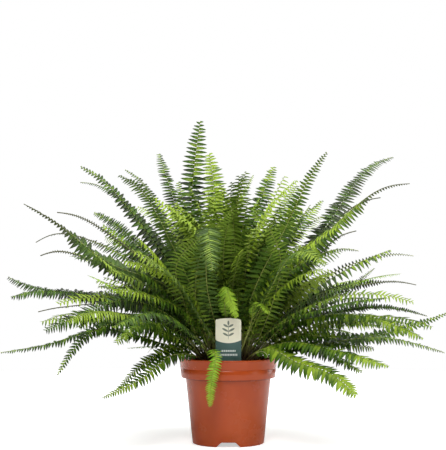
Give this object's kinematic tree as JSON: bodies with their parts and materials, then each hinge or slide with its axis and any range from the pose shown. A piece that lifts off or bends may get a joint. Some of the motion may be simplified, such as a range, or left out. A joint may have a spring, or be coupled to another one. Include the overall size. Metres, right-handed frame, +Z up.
{
  "type": "potted sword fern",
  "caption": "Bushy sword fern with long arching, finely divided fronds in a terracotta-coloured plastic nursery pot, with its soil, crown and a plain stick-in label.",
  "frame": {"origin": "on the ground under the middle of the plant, on the pot's axis", "axes": "+X to the right of the pictured side, +Y away from the viewer, +Z up"},
  "size_m": [0.79, 0.54, 0.565],
  "materials": {
    "pot_plastic": "semi-gloss injection-moulded terracotta-coloured polypropylene",
    "potting_soil": "moist dark peat with perlite crumbs",
    "rhizome": "scaly brown rhizomes and dry leaf bases",
    "label_plastic": "thin printed plastic, cream above and dark teal below",
    "leaf": "satin mid to dark green leaflets, paler underneath, on a straw-green midrib",
    "young_leaf": "bright yellow-green young leaflets"
  },
  "bodies": {
    "root": {"pot": "pot_plastic", "potting_soil": "potting_soil", "crown": "rhizome", "plant_label": "label_plastic", "frond_left_01": "leaf", "frond_left_02": "leaf", "frond_left_03": "leaf", "frond_left_04": "leaf", "frond_left_05": "leaf", "frond_left_06": "leaf", "frond_left_07": "leaf", "frond_left_08": "leaf", "frond_left_09": "leaf", "frond_left_10": "leaf", "frond_left_11": "leaf", "frond_left_12": "leaf", "frond_left_13": "young_leaf", "frond_left_14": "leaf", "frond_left_15": "leaf", "frond_left_16": "leaf", "frond_left_17": "leaf", "frond_left_18": "leaf", "frond_left_19": "leaf", "frond_left_20": "young_leaf", "frond_left_21": "leaf", "frond_left_22": "leaf", "frond_right_01": "leaf", "frond_right_02": "leaf", "frond_right_03": "leaf", "frond_right_04": "leaf", "frond_right_05": "leaf", "frond_right_06": "leaf", "frond_right_07": "leaf", "frond_right_08": "leaf", "frond_right_09": "leaf", "frond_right_10": "leaf", "frond_right_11": "leaf", "frond_right_12": "leaf", "frond_right_13": "leaf", "frond_right_14": "leaf", "frond_right_15": "leaf", "frond_right_16": "leaf", "frond_right_17": "leaf", "frond_right_18": "leaf", "frond_right_19": "leaf", "frond_right_20": "leaf", "frond_right_21": "leaf", "frond_front_01": "young_leaf", "frond_front_02": "young_leaf", "frond_front_03": "young_leaf", "frond_front_04": "leaf", "frond_front_05": "leaf", "frond_front_06": "leaf", "frond_front_07": "leaf", "frond_back_01": "leaf", "frond_back_02": "leaf", "frond_back_03": "leaf", "frond_back_04": "leaf", "frond_back_05": "leaf", "frond_back_06": "leaf"}
  },
  "joints": []
}
